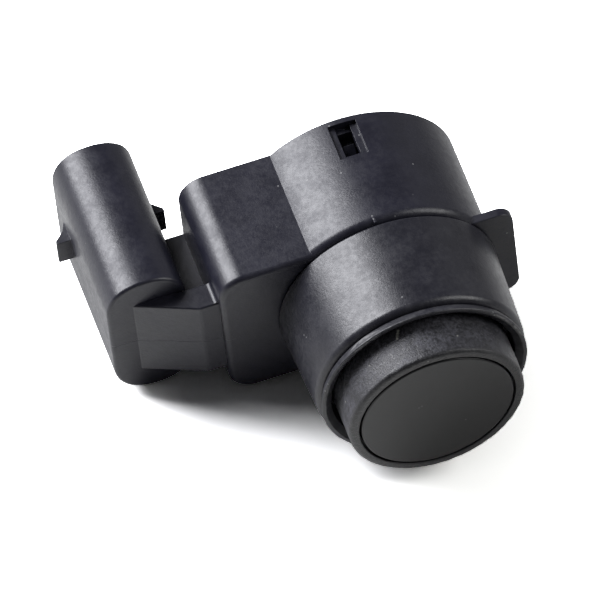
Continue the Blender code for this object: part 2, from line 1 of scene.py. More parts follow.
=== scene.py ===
# %% [markdown]
# # A parking sensor on a white bench
#
# The object is a small moulded sensor from a car bumper. A stepped barrel holds the sounding
# face, a box beside it holds the electronics, and an upright socket takes the wiring plug.
# All of it is near-black plastic and rubber, so the picture depends on three things: soft edges
# that catch the light, a fine moulded grain, and a large lamp at the upper left.
#
# The solid model is loaded first, as a fixed frame. Pieces that show are built again with
# finer curves and stand exactly where their solids are. Pieces inside keep their solids.

# %% Load the frame
import json
import math

import bmesh
import bpy
from mathutils import Matrix, Vector, noise

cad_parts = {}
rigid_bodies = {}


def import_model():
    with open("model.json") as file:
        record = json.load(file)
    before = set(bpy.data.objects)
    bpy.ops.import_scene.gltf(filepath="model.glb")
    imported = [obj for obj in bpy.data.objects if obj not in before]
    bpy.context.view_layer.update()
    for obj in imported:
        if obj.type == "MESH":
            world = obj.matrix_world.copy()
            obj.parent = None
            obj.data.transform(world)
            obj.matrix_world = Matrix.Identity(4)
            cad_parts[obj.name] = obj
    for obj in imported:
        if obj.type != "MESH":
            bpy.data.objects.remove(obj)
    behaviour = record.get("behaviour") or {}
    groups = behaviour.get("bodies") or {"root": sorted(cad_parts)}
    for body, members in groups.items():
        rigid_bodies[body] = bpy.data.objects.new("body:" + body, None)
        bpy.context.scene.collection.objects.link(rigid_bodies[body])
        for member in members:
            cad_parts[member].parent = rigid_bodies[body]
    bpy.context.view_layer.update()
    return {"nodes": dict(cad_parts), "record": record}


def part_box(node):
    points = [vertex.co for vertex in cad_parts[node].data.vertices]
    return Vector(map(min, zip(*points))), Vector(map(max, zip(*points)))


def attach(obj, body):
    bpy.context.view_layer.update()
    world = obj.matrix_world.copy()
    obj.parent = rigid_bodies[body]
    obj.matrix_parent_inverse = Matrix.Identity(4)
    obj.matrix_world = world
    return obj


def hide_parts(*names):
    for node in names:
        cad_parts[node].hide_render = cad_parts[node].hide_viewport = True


for old in list(bpy.data.objects):
    bpy.data.objects.remove(old, do_unlink=True)
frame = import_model()
nodes = frame["nodes"]

# %% [markdown]
# ## The sensor's own axes
#
# The sensor lies rolled on the bench, because barrel and socket both touch it. Every shape is
# easier to write square to the barrel: the face at the origin, the barrel along +Y and the
# socket at -X. So pieces are drawn in millimetres in those axes, and one matrix lays them down.
# The roll could be typed in, but the three terminals already show it: they stand in one line,
# straight up in the sensor's own axes.

# %% Read the roll from the terminals
mm = 0.001


def middle(node):
    low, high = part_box(node)
    return (low + high) / 2


lean = middle("terminal_3") - middle("terminal_1")
roll = math.atan2(-lean.x, lean.z)
lay_down = Matrix.Rotation(-roll, 4, "Y") @ Matrix.Scale(mm, 4)
bench_height = min(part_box(name)[0].z for name in nodes)
print(f"roll {math.degrees(roll):.2f} degrees, bench at {bench_height / mm:.2f} mm")

# %% [markdown]
# ## The camera
#
# Round rims seen as ellipses give the viewing angle: the wider the ellipse, the more the eye
# looks along its axis. The parallel edges hardly converge, so the lens is very long and stands
# far away. The camera is turned about three angles in the sensor's own axes. Angles, distance
# and lens come from fitting the rims and edges to the photograph.

# %% Place the camera
camera_azimuth = -12.211
camera_elevation = 54.265
camera_roll = 7.502
camera_distance = 1443.2
camera_lens = 910.53
face_right_of_centre = 13.118
face_below_centre = 10.533

azimuth = math.radians(camera_azimuth)
elevation = math.radians(camera_elevation)
back = Vector((math.sin(azimuth) * math.cos(elevation), -math.cos(azimuth) * math.cos(elevation),
               math.sin(elevation)))
level = Vector((0, 0, 1)).cross(back).normalized()
steep = back.cross(level)
tilt = Matrix.Rotation(math.radians(camera_roll), 3, back)
right = tilt.inverted() @ level
up = tilt.inverted() @ steep
place = back * camera_distance - right * face_right_of_centre + up * face_below_centre

turned = Matrix((right, up, back)).transposed().to_4x4()
camera_data = bpy.data.cameras.new("camera")
camera_data.sensor_width = 36.0
camera_data.lens = camera_lens
camera_data.clip_start = 0.1
camera_data.clip_end = 20.0
camera = bpy.data.objects.new("camera", camera_data)
bpy.context.scene.collection.objects.link(camera)
stand = Matrix.Rotation(-roll, 4, "Y")
camera.matrix_world = stand @ Matrix.Translation(place * mm) @ turned
bpy.context.scene.camera = camera
bpy.context.scene.view_settings.view_transform = "Standard"
print("camera", tuple(round(value, 3) for value in camera.matrix_world.translation), "m")

# %% [markdown]
# ## Shader maths in plain Python
#
# A finish is mostly arithmetic on masks. Wiring Math nodes by hand hides that, so a small class
# wraps one output socket and turns +, - and * into nodes. The reflected forms let a plain number
# stand on the left, as in 1 - mask.

# %% A wrapped socket
class Wire:
    """One output socket of a finish, with arithmetic."""

    def __init__(self, finish, socket):
        self.finish = finish
        self.socket = socket

    def math(self, operation, *others):
        return self.finish.node("ShaderNodeMath", {"operation": operation},
                                dict(enumerate((self, *others))))

    def __add__(self, other):
        return self.math("ADD", other)

    def __mul__(self, other):
        return self.math("MULTIPLY", other)

    def __sub__(self, other):
        return self.math("SUBTRACT", other)

    def __rsub__(self, other):
        return self.finish.node("ShaderNodeMath", {"operation": "SUBTRACT"}, {0: other, 1: self})

    __radd__ = __add__
    __rmul__ = __mul__

    def ramp(self, low, high):
        """0 below low, 1 above high, and a smooth step between."""
        return self.finish.node("ShaderNodeMapRange", {"interpolation_type": "SMOOTHSTEP"},
                                {"Value": self, "From Min": low, "From Max": high})


print("a wrapped socket takes +, - and *")

# %% [markdown]
# A second class holds one material. Its one general method adds any node from its type, its
# settings and its sockets, and short methods name what the finishes below are made of: noise,
# cells, spots at given places, a mix of two colours and a bump. Colours go through a Mix node,
# since a Math node would turn them grey.
#
# A texture runs in object coordinates. Every piece has its origin at the world's, so two pieces
# with the same finish share one grain, and the grain stays on a piece from every side.

# %% A finish
class Finish:
    """A material with its Principled shader and a few helpers that add nodes."""

    def __init__(self, name):
        self.material = bpy.data.materials.new(name)
        self.material.use_nodes = True
        self.tree = self.material.node_tree
        self.shader = self.tree.nodes["Principled BSDF"]
        self.surface = self.node("ShaderNodeTexCoord", {}, {}, "Object")

    def node(self, kind, settings, inputs, output=0):
        made = self.tree.nodes.new(kind)
        for key, value in settings.items():
            setattr(made, key, value)
        for key, value in inputs.items():
            self.feed(made.inputs[key], value)
        return Wire(self, made.outputs[output])

    def feed(self, socket, value):
        if isinstance(value, Wire):
            self.tree.links.new(value.socket, socket)
        else:
            socket.default_value = value

    def noise(self, size, detail=3.0, rough=0.5):
        """Cloudy noise with patches about size millimetres across."""
        return self.node("ShaderNodeTexNoise", {},
                         {"Vector": self.surface, "Scale": 1.0 / (size * mm), "Detail": detail,
                          "Roughness": rough})

    def cells(self, size):
        """Distance to the middle of the nearest of many cells about size millimetres across."""
        return self.node("ShaderNodeTexVoronoi", {},
                         {"Vector": self.surface, "Scale": 1.0 / (size * mm)}, "Distance")

    def along(self, axis):
        """How far along one of the sensor's own axes, in millimetres."""
        return self.node("ShaderNodeVectorMath", {"operation": "DOT_PRODUCT"},
                         {0: self.surface, 1: stand.to_3x3() @ Vector(axis) / mm}, "Value")

    def spots(self, places, reach):
        """Small round marks at places in the sensor's own axes, reach millimetres in radius."""
        found = 0.0
        for place in places:
            away = self.node("ShaderNodeVectorMath", {"operation": "DISTANCE"},
                             {0: self.surface, 1: lay_down @ Vector(place)}, "Value")
            found = away.ramp(reach * mm, reach * mm * 0.35).math("MAXIMUM", found)
        return found

    def mix(self, share, first, second):
        """Colour that goes from first to second as share goes from 0 to 1."""
        return self.node("ShaderNodeMix", {"data_type": "RGBA"},
                         {0: share, 6: first, 7: second}, 2)

    def bump(self, height, depth, edge=0.0):
        """Bump whose height runs over depth millimetres, over edges rounded by edge millimetres."""
        inputs = {"Height": height, "Strength": 1.0, "Distance": depth * mm}
        if edge:
            inputs["Normal"] = self.node("ShaderNodeBevel", {"samples": 6}, {"Radius": edge * mm})
        return self.node("ShaderNodeBump", {}, inputs)

    def set(self, **values):
        """Feed the shader's sockets, such as Base_Color, and give back the material."""
        for key, value in values.items():
            self.feed(self.shader.inputs[key.replace("_", " ")], value)
        return self.material


def grey(level, blue=1.0):
    """A near-neutral colour; blue above 1 cools it."""
    return (level, level, level * blue, 1.0)


print("helpers of a finish:", ", ".join(name for name in vars(Finish) if "_" not in name))

# %% [markdown]
# ## Moulded black plastic
#
# Housing, sleeve, lip and cover are one glass-filled plastic. The mould was spark-eroded, which
# leaves a grain of a fifth of a millimetre and blotches of half a millimetre: they break each
# highlight into a soft, speckled band. Handling adds cloudy patches and pale dust in the grain.
# Noise gathers round its middle value, so each one is stretched by a ramp before it is used.

# %% Grain, blotches and clouds
grain_size = 0.2
blotch_size = 0.55
cloud_size = 2.6


def textures(finish):
    grain = finish.noise(grain_size, 2.0, 0.6)
    blotch = finish.noise(blotch_size, 3.0, 0.62).ramp(0.3, 0.7)
    clouds = finish.noise(cloud_size, 4.0, 0.6).ramp(0.3, 0.7)
    return grain, blotch, clouds


print(f"grain {grain_size} mm, blotches {blotch_size} mm, clouds {cloud_size} mm")

# %% [markdown]
# A few grains of dust lie where the photograph shows them. Each is a place on the surface in the
# sensor's own axes, so it stays there from every side. They could be tiny meshes, but at a tenth
# of a millimetre a spot of colour looks the same.

# %% Places of the dust
speck_radius = 0.11
housing_dust = [(-7.29, 24.41, 8.75), (5.41, 21.42, 9.75), (-16.35, 25.26, 4.56),
                (-19.08, 18.62, 5.08), (-4.7, 23.09, 10.11), (-16.35, 19.56, 5.08),
                (-0.88, 27.65, 11.11), (-1.55, 22.02, 11.04), (1.54, 25.95, 10.6),
                (12.32, 15.2, 2.99), (-26.75, 29.15, 1.86), (-0.41, 16.07, 11.14),
                (-0.38, 15.7, 11.13)]
sleeve_dust = [(-9.8, 9.97, 4.41), (-0.66, 6.45, 10.57), (-9.6, 8.4, 4.9), (-9.73, 9.5, 4.6)]
lip_dust = [(-9.42, 3.93, 4.11), (-9.79, 3.94, 3.13), (-8.74, 3.87, -3.63), (-8.22, 3.87, -4.74),
            (7.4, 3.99, 7.18), (7.47, 3.87, 6.8)]
print("specks:", len(housing_dust), "on the housing,", len(sleeve_dust), "on the sleeve,",
      len(lip_dust), "on the lip")

# %% [markdown]
# The seam where the two halves of the mould met runs round the arm and the front of the socket:
# a dark line, fine and a little wavy. It follows a plane, so a distance from that plane is enough
# and no edge of the mesh has to run there.

# %% The mould's seam
seam_height = -0.3
seam_half = 0.1
seam_waver = 0.5
seam_rear = 26.0
seam_right = -15.2


def mould_seam(finish):
    waver = finish.noise(2.5, 2.0) * seam_waver - seam_waver / 2
    off = (finish.along((0, 0, 1)) + waver - seam_height).math("ABSOLUTE")
    before = finish.along((0, 1, 0)).ramp(seam_rear, seam_rear - 0.2)
    outside = finish.along((1, 0, 0)).ramp(seam_right, seam_right - 0.3)
    return off.ramp(seam_half, seam_half * 0.3) * before * outside


print(f"seam {2 * seam_half} mm wide, {-seam_height} mm below the axis")

# %% [markdown]
# Two stretches of the lip's front edge, where it stands out the furthest, are a painted
# highlight: pale colour that stands in for lamp light caught there. The mask is a thin ring
# round the axis, kept only near two bearings and broken up by noise.

# %% The lip's painted edge highlight
painted_highlight_radius = 10.12
painted_highlight_stretches = [(28, 17), (122, 8)]


def painted_highlight_edge(finish):
    """The stretches of painted highlight, each with its bearing and half its angle in degrees."""
    across, rise = finish.along((1, 0, 0)), finish.along((0, 0, 1))
    radius = (across * across + rise * rise).math("SQRT")
    found = 0.0
    for bearing, wide in painted_highlight_stretches:
        facing = across * math.cos(math.radians(bearing)) + rise * math.sin(math.radians(bearing))
        limit = math.cos(math.radians(wide)) * painted_highlight_radius
        found = facing.ramp(limit, limit * 0.3 + painted_highlight_radius * 0.7).math("MAXIMUM", found)
    broken = finish.noise(0.7).ramp(0.3, 0.6)
    return (radius - painted_highlight_radius).math("ABSOLUTE").ramp(0.17, 0.04) * found * broken


print("rubbed stretches at", [bearing for bearing, wide in painted_highlight_stretches], "degrees")

# %% [markdown]
# One recipe serves all three plastics. The housing is the darkest and the bluest, the sleeve has
# gathered more dust, and the lip is the most scuffed. Dust greys the colour, grain and blotches
# vary the roughness, and a shallow bump breaks the highlights. On the lip a painted highlight
# also pales two stretches of the front edge.

# %% Mix the plastic
plastic_ior = 1.52
# The grey of the dust specks, and of the painted highlight on the lip's edge.
dust_and_highlight_grey = 0.32
scatter_size = 2.6
grain_depth = 0.02
soft_edge = 0.05


def moulded_plastic(name, level, blue, roughness, dusty, dust_places, seam=False, painted_highlight=False):
    """Level and blue give the bare colour, dusty says how much dust sits in the grain."""
    finish = Finish(name)
    grain, blotch, clouds = textures(finish)
    dust = blotch * clouds * dusty
    plain = finish.mix(clouds, grey(level * 0.86, blue), grey(level * 1.1, blue))
    greyed = finish.mix(dust, plain, grey(level * 4.0, 1.06))
    dusty_parts = finish.noise(9.0).ramp(0.45, 0.6)
    scattered = finish.cells(scatter_size).ramp(0.04, 0.02) * dusty_parts * 0.35
    dust_and_highlight = finish.spots(dust_places, speck_radius) * 0.7 + scattered
    # Painted highlight: on the lip, pale colour along the front edge stands in for lamp light.
    if painted_highlight:
        dust_and_highlight = dust_and_highlight + painted_highlight_edge(finish) * 0.5
    height = grain * 0.6 + blotch * 0.2
    if seam:
        height = height - mould_seam(finish) * 0.8
    return finish.set(Base_Color=finish.mix(dust_and_highlight, greyed, grey(dust_and_highlight_grey)), IOR=plastic_ior,
                      Roughness=clouds * 0.07 + blotch * 0.09 + grain * 0.12 + (roughness - 0.14),
                      Normal=finish.bump(height, grain_depth, soft_edge))


black_plastic = moulded_plastic("moulded black plastic", level=0.0115, blue=1.8, roughness=0.385,
                                dusty=0.09, dust_places=housing_dust, seam=True)
sleeve_plastic = moulded_plastic("sleeve plastic", level=0.0155, blue=1.45, roughness=0.365,
                                 dusty=0.2, dust_places=sleeve_dust)
lip_plastic = moulded_plastic("scuffed lip plastic", level=0.018, blue=1.35, roughness=0.44,
                              dusty=0.5, dust_places=lip_dust, painted_highlight=True)
print("finishes:", ", ".join(made.name for made in (black_plastic, sleeve_plastic, lip_plastic)))

# %% [markdown]
# ## Silicone rubber and the painted face
#
# The rubber ring is duller than the plastic and catches lint, so it looks grey and mottled along
# its side, and a wisp of fibre hangs over its rear edge. The face is a thin coat of paint on
# aluminium: neutral, smooth, with a very fine orange peel and no grain.

# %% Mix the rubber and the paint
rubber_dust = [(-0.39, 0.05, 8.3), (3.2, 1.9, 8.2), (-5.5, 2.6, 6.87), (-8.3, 2.2, 2.9)]
fibre = [(-2.3, 3.5, 8.49), (-2.2, 3.75, 8.51), (-2.08, 4.0, 8.54), (-1.95, 4.25, 8.57)]
face_dust = [(-1.8, 0.0, 1.4), (-1.5, 0.0, 1.52), (2.6, 0.0, -2.8)]
lint_radius = 0.12
fibre_radius = 0.2


def scuffed_rubber():
    finish = Finish("scuffed silicone rubber")
    mottle = finish.noise(0.35, 4.0, 0.72).ramp(0.32, 0.7)
    rub = finish.noise(2.2, 3.0, 0.6).ramp(0.34, 0.64)
    bloom = mottle * (rub * 0.7 + 0.3) * finish.along((0, 1, 0)).ramp(0.1, 0.7)
    lint = finish.spots(rubber_dust, lint_radius) * 0.6 + finish.spots(fibre, fibre_radius) * 0.8
    colour = finish.mix(bloom, grey(0.016, 1.15), grey(0.075, 1.2))
    return finish.set(Base_Color=finish.mix(lint, colour, grey(0.35, 0.9)),
                      Roughness=bloom * 0.2 + 0.36, IOR=1.48,
                      Normal=finish.bump(mottle, 0.026, 0.06))


def painted_face():
    finish = Finish("satin painted face")
    peel = finish.noise(0.35, 2.0)
    clouds = finish.noise(5.0, 3.0)
    wear = finish.spots(face_dust, lint_radius)
    colour = finish.mix(clouds, grey(0.007, 1.15), grey(0.0095, 1.15))
    return finish.set(Base_Color=finish.mix(wear * 0.5, colour, grey(0.11)),
                      Roughness=clouds * 0.05 + peel * 0.04 + 0.3, IOR=1.43,
                      Normal=finish.bump(peel, 0.002, 0.05))


rubber = scuffed_rubber()
face_paint = painted_face()
print("finishes:", rubber.name, "and", face_paint.name)

# %% [markdown]
# ## Finishes inside
#
# Behind the face are a piezo disc, felt, leads, a circuit board and its components. Little of
# it shows, only what can be seen through the latch window and in the socket. Each still gets
# its own colour, grain and gloss. One recipe makes them all: two colours, the grain's size in
# millimetres, the roughness and the depth of the bump.

# %% Mix the inner finishes
def grained(name, dark, light, size, roughness, depth, metallic=0.0):
    """Colour runs from dark to light with the grain; metallic is 1 for bare metal."""
    finish = Finish(name)
    grain = finish.noise(size, 4.0, 0.6)
    patch = finish.noise(size * 8.0, 2.0)
    share = grain * 0.7 + patch * 0.3
    return finish.set(Base_Color=finish.mix(share, (*dark, 1.0), (*light, 1.0)),
                      Roughness=grain * 0.14 + patch * 0.08 + (roughness - 0.1),
                      Metallic=metallic, Normal=finish.bump(grain, depth))


inner_finishes = {
    "seal_silicone": grained("clear silicone", (0.38, 0.11, 0.07), (0.52, 0.19, 0.12),
                             0.6, 0.35, 0.01),
    "piezo_ceramic": grained("silvered ceramic", (0.55, 0.51, 0.4), (0.66, 0.62, 0.5),
                             0.15, 0.5, 0.006),
    "felt": grained("pressed felt", (0.2, 0.2, 0.2), (0.38, 0.37, 0.36), 0.12, 0.95, 0.06),
    "tinned_contact": grained("tinned bronze", (0.62, 0.6, 0.56), (0.8, 0.78, 0.75),
                              0.2, 0.32, 0.003, 1.0),
    "circuit_board": grained("solder mask", (0.012, 0.09, 0.035), (0.025, 0.14, 0.06),
                             0.3, 0.42, 0.01),
    "chip_compound": grained("moulding compound", (0.014, 0.014, 0.015), (0.03, 0.03, 0.031),
                             0.08, 0.55, 0.006),
    "capacitor_ceramic": grained("fired ceramic", (0.36, 0.25, 0.15), (0.48, 0.35, 0.23),
                                 0.1, 0.5, 0.005),
    "aluminium_can": grained("drawn aluminium", (0.6, 0.61, 0.63), (0.76, 0.77, 0.78),
                             0.12, 0.36, 0.003, 1.0),
    "ferrite": grained("sintered ferrite", (0.045, 0.045, 0.05), (0.08, 0.08, 0.085),
                       0.1, 0.6, 0.01),
    "copper_wire": grained("enamelled copper", (0.5, 0.17, 0.06), (0.72, 0.3, 0.13),
                           0.12, 0.33, 0.02, 1.0),
}
for part in frame["record"]["subparts"]:
    slots = nodes[part["node"]].data.materials
    slots.clear()
    slots.append(inner_finishes.get(part["material_slot"], black_plastic))
print("inner finishes:", len(inner_finishes))

# %% [markdown]
# ## Turned pieces
#
# Barrel, sleeve, lip, rubber ring and face are round. Each is a closed profile of radius and
# distance along the barrel, spun round its axis as on a lathe. Blender's Screw modifier would do
# it too, but in code the mesh is closed at once, also where a profile touches the axis.

# %% Turn a profile
round_steps = 224
fine_round_steps = 320


def arc(centre_x, centre_y, radius, start, end, steps):
    """Points of an arc; angles in degrees, anticlockwise from +X."""
    points = []
    for step in range(steps + 1):
        angle = math.radians(start + (end - start) * step / steps)
        points.append((centre_x + radius * math.cos(angle), centre_y + radius * math.sin(angle)))
    return points


def spin(profile, steps=round_steps):
    """Turn a closed profile of (radius, y) about the barrel's axis."""
    bm = bmesh.new()
    rings = []
    for step in range(steps):
        angle = math.tau * step / steps
        rings.append([bm.verts.new((radius * math.cos(angle), y, radius * math.sin(angle)))
                      for radius, y in profile])
    for ring, after in zip(rings, rings[1:] + rings[:1]):
        for low, high in zip(range(len(profile)), [*range(1, len(profile)), 0]):
            bm.faces.new((ring[low], ring[high], after[high], after[low]))
    # Points on the axis stand on each other, so they are merged, and edges left bare are dropped.
    bmesh.ops.remove_doubles(bm, verts=bm.verts, dist=1e-5)
    bare = [edge for edge in bm.edges if not edge.link_faces]
    bmesh.ops.delete(bm, geom=bare, context="EDGES")
    bmesh.ops.recalc_face_normals(bm, faces=bm.faces)
    return bm


print(f"a turned piece has {round_steps} or {fine_round_steps} steps round")

# %% [markdown]
# ## Moulded blocks
#
# A moulded block is an outline pushed along one direction, and its edges are rounded by a bevel.
# Real mouldings have no sharp edge, and a round one draws the thin bright line that gives a dark
# piece its shape. Only the edges that are chosen are rounded, since each needs its own radius.

# %% Push an outline and round its edges
def push(outline, direction):
    """A block from an outline of points, pushed along direction."""
    bm = bmesh.new()
    face = bm.faces.new([bm.verts.new(point) for point in outline])
    grown = bmesh.ops.extrude_face_region(bm, geom=[face])["geom"]
    bmesh.ops.translate(bm, verts=[item for item in grown if isinstance(item, bmesh.types.BMVert)],
                        vec=direction)
    bmesh.ops.recalc_face_normals(bm, faces=bm.faces)
    return bm


def along_y(outline, y0, y1):
    return push([(x, y0, z) for x, z in outline], (0, y1 - y0, 0))


def along_z(outline, z0, z1):
    return push([(x, y, z0) for x, y in outline], (0, 0, z1 - z0))


def block(low, high):
    """A plain block between two corners."""
    (x0, y0, z0), (x1, y1, z1) = low, high
    return along_y([(x0, z0), (x1, z0), (x1, z1), (x0, z1)], y0, y1)


def soften(bm, width, steps=3, chosen=lambda edge: True, sharper_than=25.0):
    """Round those chosen edges that turn by more than sharper_than degrees."""
    sharp = [edge for edge in bm.edges if edge.calc_face_angle(0.0) > math.radians(sharper_than)
             and chosen(edge)]
    bmesh.ops.bevel(bm, geom=sharp, offset=width, segments=steps, profile=0.5, affect="EDGES",
                    clamp_overlap=True)
    return bm


def at_y(y):
    """Choose the edges that lie in the plane at y."""
    return lambda edge: all(abs(corner.co.y - y) < 1e-4 for corner in edge.verts)


sample = soften(block((0, 0, 0), (1, 1, 1)), 0.1)
print("a softened block has", len(sample.faces), "faces")
sample.free()

# %% [markdown]
# ## From shape to piece
#
# One function lays a shape down on the bench as an object. Another shades it, gives it its
# finish, and lets it ride on the frame in place of its solid. Weighted normals keep flat faces
# flat beside their round edges. The last joins and cuts pieces with Booleans.

# %% Lay down, dress and carve
def raw_object(name, bm):
    """Turn a shape into an object, from the sensor's own axes into the frame."""
    bm.transform(lay_down)
    mesh = bpy.data.meshes.new(name)
    bm.to_mesh(mesh)
    bm.free()
    made = bpy.data.objects.new(name, mesh)
    bpy.context.scene.collection.objects.link(made)
    return made


def dress(made, material, stands_for=(), sharp=32.0):
    """Shade a piece, give it its finish and let it ride on the frame."""
    made.data.shade_smooth()
    made.data.set_sharp_from_angle(angle=math.radians(sharp))
    made.data.materials.clear()
    made.data.materials.append(material)
    weighted = made.modifiers.new("flat faces stay flat", "WEIGHTED_NORMAL")
    weighted.keep_sharp = True
    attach(made, "root")
    if stands_for:
        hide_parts(*stands_for)
    print(made.name, len(made.data.polygons), "faces")
    return made


def carve(made, steps):
    """Join or cut a list of (operation, bmesh) into a piece, and keep only the result."""
    cutters = []
    for operation, bm in steps:
        cutter = raw_object("cutter", bm)
        modifier = made.modifiers.new(operation, "BOOLEAN")
        modifier.operation = operation
        modifier.solver = "MANIFOLD"
        modifier.object = cutter
        cutters.append(cutter)
    graph = bpy.context.evaluated_depsgraph_get()
    result = bpy.data.meshes.new_from_object(made.evaluated_get(graph))
    made.modifiers.clear()
    made.data = result
    for cutter in cutters:
        bpy.data.objects.remove(cutter, do_unlink=True)
    return made


print(f"shapes are scaled by {lay_down.to_scale().x:.3f} and rolled {math.degrees(roll):.2f} degrees")

# %% [markdown]
# ## The housing
#
# The housing is one injection moulding: barrel, electronics box, arm, rib, upright socket, ear
# and latch lugs. It could be sculpted as one skin, but a toolmaker thinks in blocks, so the
# same blocks are made here with rounded edges and joined by Booleans.
# The hollows are cut last, because they pass through several blocks.

# %% Sizes of the housing
barrel_radius = 11.15
housing_front = 15.2
housing_rear = 28.2
barrel_fillet = 0.9
rear_rim = 0.12
housing_wall = 1.55
box_reach = 16.35
box_half = 8.75
box_corner = 2.6
box_fillet = 0.6
box_wall = 1.35
board_seat = 18.9
shroud_x = -22.75
shroud_width = 8.0
shroud_height = 16.5
shroud_corner = 3.35
shroud_front = 18.6
shroud_mouth = 36.0
shroud_wall = 1.0
shroud_floor = 2.6
shroud_fillet = 0.35
arm_half = 5.2
arm_front = 15.9
arm_knee = 1.85
arm_past_shroud = 1.45
fit_gap = 0.1
cavity_radius = barrel_radius - housing_wall
print(f"barrel {2 * barrel_radius:.1f} mm wide, ends {housing_rear} mm behind the face")

# %% [markdown]
# Three outlines serve all the blocks. Round corners are arcs, apart from the socket's: in the
# photograph its sides keep turning all the way up to the top, as a superellipse does. The
# keyhole is the shape of barrel and box together, for the cavity and for the rear cover.

# %% Outlines of the housing
def slot_outline(centre_x, width, height, corner, steps=20):
    """An upright rounded rectangle."""
    outline = []
    for turn, (side_x, side_z) in enumerate(((1, 1), (-1, 1), (-1, -1), (1, -1))):
        outline += arc(centre_x + side_x * (width / 2 - corner), side_z * (height / 2 - corner),
                       corner, turn * 90, turn * 90 + 90, steps)
    return outline


def socket_outline(steps=24):
    """The socket's outside: superellipse corners that meet in the middle of its top."""
    tall, fullness = 4.1, 2.25
    outline = []
    for turn, (side_x, side_z) in enumerate(((1, 1), (-1, 1), (-1, -1), (1, -1))):
        last = steps if turn % 2 else steps - 1
        for step in range(last + 1):
            angle = math.radians(90 * (turn + step / steps))
            across = abs(math.cos(angle)) ** (2 / fullness) * shroud_width / 2
            rise = abs(math.sin(angle)) ** (2 / fullness) * tall
            outline.append((shroud_x + side_x * across,
                            side_z * (shroud_height / 2 - tall + rise)))
    return outline


def keyhole(radius, reach, half, corner, steps=20):
    """A disc on the axis joined to a box that reaches out to -X."""
    meet = 180 - math.degrees(math.asin(half / radius))
    outline = arc(0, 0, radius, -meet, meet, 160)
    outline += arc(corner - reach, half - corner, corner, 90, 180, steps)
    outline += arc(corner - reach, corner - half, corner, 180, 270, steps)
    return outline


print("points of the socket's outline:", len(socket_outline()))

# %% [markdown]
# ### Barrel, box and socket
#
# The barrel is turned, and the box and the socket are outlines pushed along it. Their front
# edges are rounded more than their rear rims, as the photograph shows.

# %% Barrel, box and socket
def barrel_block():
    profile = [(0.0, housing_front)]
    profile += arc(barrel_radius - barrel_fillet, housing_front + barrel_fillet, barrel_fillet,
                   -90, 0, 10)
    profile += [(barrel_radius, housing_rear - rear_rim), (barrel_radius - rear_rim, housing_rear),
                (0.0, housing_rear)]
    return spin(profile)


def box_block():
    outline = arc(box_corner - box_reach, box_half - box_corner, box_corner, 90, 180, 20)
    outline += arc(box_corner - box_reach, box_corner - box_half, box_corner, 180, 270, 20)
    outline += [(0.0, -box_half), (0.0, box_half)]
    bm = along_y(outline, housing_front, housing_rear)
    soften(bm, box_fillet, 6, at_y(housing_front))
    return soften(bm, rear_rim, 2, at_y(housing_rear))


def shroud_block():
    mouth_edge = 0.15
    bm = along_y(socket_outline(), shroud_front, shroud_mouth)
    soften(bm, shroud_fillet, 4, at_y(shroud_front))
    return soften(bm, mouth_edge, 3, at_y(shroud_mouth))


# %% [markdown]
# ### Arm and rib
#
# Seen from above, the arm that joins box and socket is a bent plate: square to the box, then
# slanting back. A small hollow fillet softens its corner with the box, and a thin rib behind it
# closes the gap. Its outline is pushed upwards, because its shape shows best from above.

# %% Arm and rib
def arm_block():
    edge = 0.22
    root = -box_reach + box_wall
    knee = -box_reach - arm_knee
    toe = shroud_x - arm_past_shroud
    outline = [(root, arm_front), (knee, arm_front), (toe, shroud_front),
               (toe, shroud_front + box_wall), (shroud_x, shroud_front + box_wall),
               (shroud_x + shroud_width / 2 - shroud_wall, shroud_front), (root, shroud_front)]
    bm = along_z(outline, -arm_half, arm_half)
    return soften(bm, edge, 3, sharper_than=15.0)


def arm_fillet(side):
    """The hollow corner where the arm's top or underside meets the box."""
    reach, shy = 0.5, 0.12
    wall = -box_reach
    inside = wall + box_wall / 2
    outline = [(inside, arm_half - box_wall / 2), (inside, arm_half + reach)]
    outline += [(wall - reach + x, arm_half + reach - z) for x, z in arc(0, 0, reach, 0, 90, 8)]
    outline += [(wall - reach, arm_half - box_wall / 2)]
    return along_y([(x, side * z) for x, z in outline], arm_front + shy, shroud_front - shy)


def rib_block():
    """The thin web between box and socket, at half their height."""
    rib_half = 0.6
    return block((shroud_x + shroud_width / 2 - shroud_wall / 2, shroud_front - fit_gap, -rib_half),
                 (-box_reach + box_wall / 2, housing_rear, rib_half))


# %% [markdown]
# ### Ear, lugs and gusset
#
# The ear is the flat plate on the side away from the socket that stops the sensor in its
# bracket. Two lugs on the socket are steep towards the front and slope away to the mouth, so a
# plug's latch rides up the slope and snaps over. A hair-thin gusset crosses the barrel's front
# round.

# %% Ear, lugs and gusset
def ear_block():
    reach, half, corner, thickness, edge = 13.08, 6.1, 1.5, 0.95, 0.12
    outline = [(0.0, -half)]
    outline += arc(reach - corner, corner - half, corner, -90, 0, 12)
    outline += arc(reach - corner, half - corner, corner, 0, 90, 12)
    outline += [(0.0, half)]
    bm = along_y(outline, housing_front, housing_front + thickness)
    return soften(bm, edge, 3)


def lug_block(side):
    """The latch lug on one side of the socket: a short flat, then a slope with a knee."""
    front, flat, slope, proud, half, edge = 30.8, 0.4, 2.0, 1.45, 1.5, 0.08
    knee_along, knee_proud = 0.45, 0.35
    wall = shroud_x + side * shroud_width / 2
    root = wall - side * shroud_wall / 2
    outline = [(root, front), (wall + side * proud, front), (wall + side * proud, front + flat),
               (wall + side * proud * knee_proud, front + flat + slope * knee_along),
               (wall, front + flat + slope), (root, front + flat + slope)]
    return soften(along_z(outline, -half, half), edge, 2)


